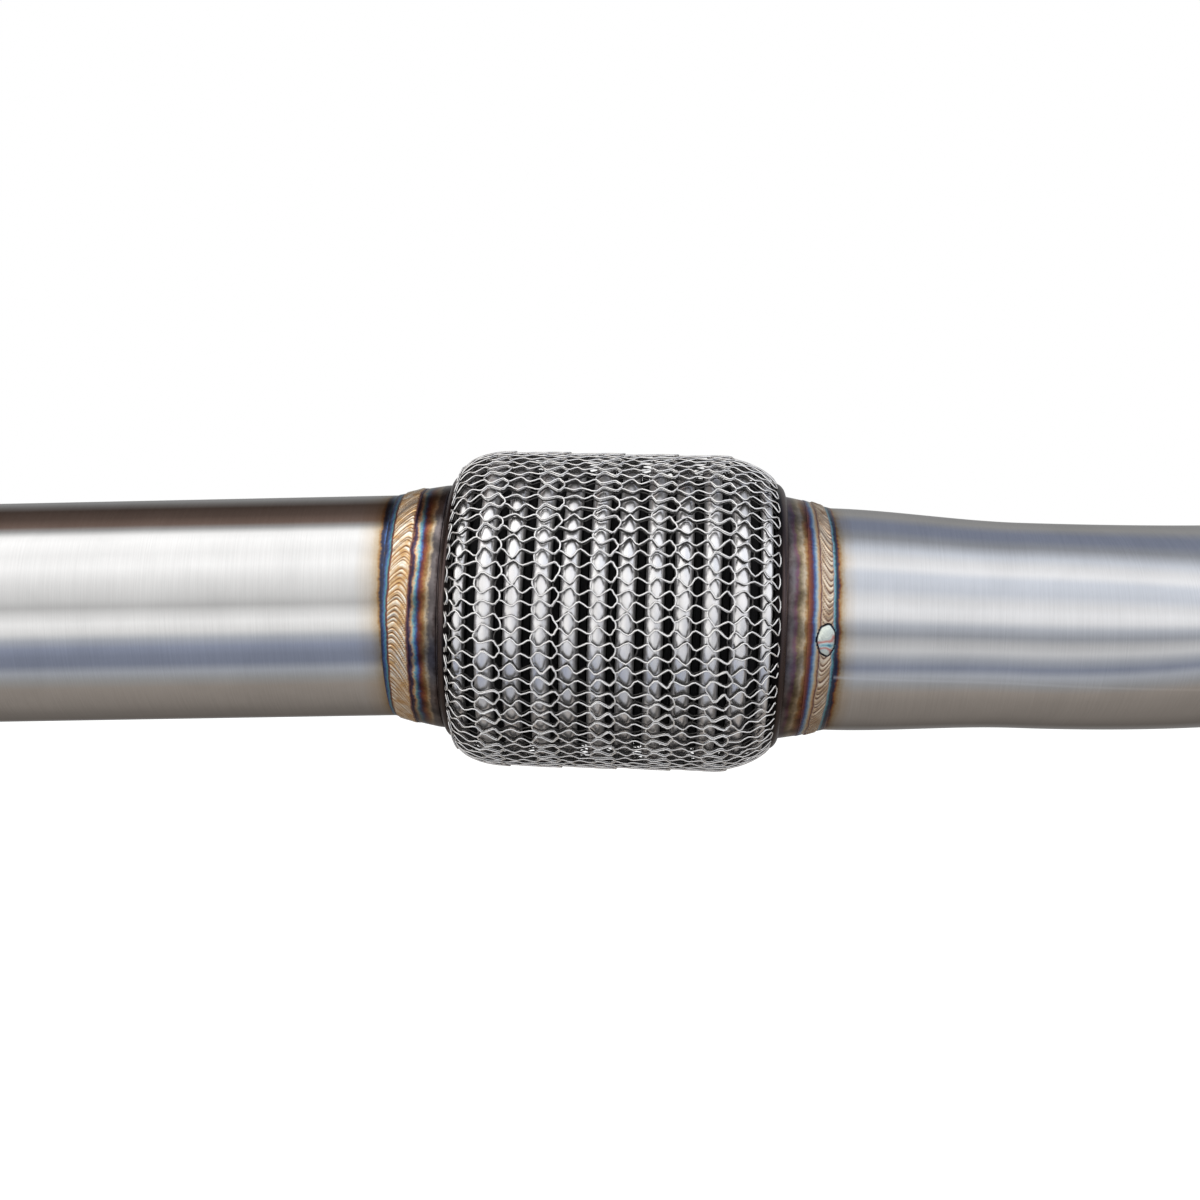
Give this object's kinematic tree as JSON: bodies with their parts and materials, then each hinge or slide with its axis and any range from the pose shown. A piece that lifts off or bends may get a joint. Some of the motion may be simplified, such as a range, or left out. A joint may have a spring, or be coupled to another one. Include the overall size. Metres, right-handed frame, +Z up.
{
  "type": "flexible downpipe section",
  "caption": "Stainless exhaust downpipe: a straight inlet tube, a knit-covered bellows with welded collars and a narrowing, bending outlet tube.",
  "frame": {"origin": "centre of the inlet tube's open end face, on the tube's axis", "axes": "+X down the inlet tube towards the outlet, +Z up, +Y away from the viewer; the outlet tube bends towards +Y"},
  "size_m": [0.4676, 0.1105, 0.094],
  "materials": {
    "tube_steel": "brushed, satin",
    "weld_bead": "rippled, heat tinted",
    "tinted_collar": "heat tinted",
    "dark_cap": "dark, rolled",
    "inner_steel": "plain",
    "bellows_steel": "bright, formed",
    "knit_wire": "bright drawn wire"
  },
  "bodies": {
    "inlet_side": {"inlet_pipe": "tube_steel", "inlet_weld": "weld_bead", "inlet_collar": "tinted_collar", "inlet_end_cap": "dark_cap", "inlet_inner_sleeve": "inner_steel", "bellows": "bellows_steel", "interlock_liner": "inner_steel", "knit_cover": "knit_wire"},
    "outlet_side": {"outlet_pipe": "tube_steel", "outlet_bend": "tube_steel", "outlet_weld": "weld_bead", "outlet_collar": "tinted_collar", "outlet_end_cap": "dark_cap", "outlet_inner_sleeve": "inner_steel"}
  },
  "joints": [
    {"name": "flex_bend", "type": "hinge", "parent": "inlet_side", "child": "outlet_side", "pos_m": [0.22742, 0, -0.00301], "axis": [0, 1, 0], "range_deg": [-5, 5], "stiffness_Nm_per_rad": 100, "deforming": ["bellows", "interlock_liner", "knit_cover"]}
  ]
}
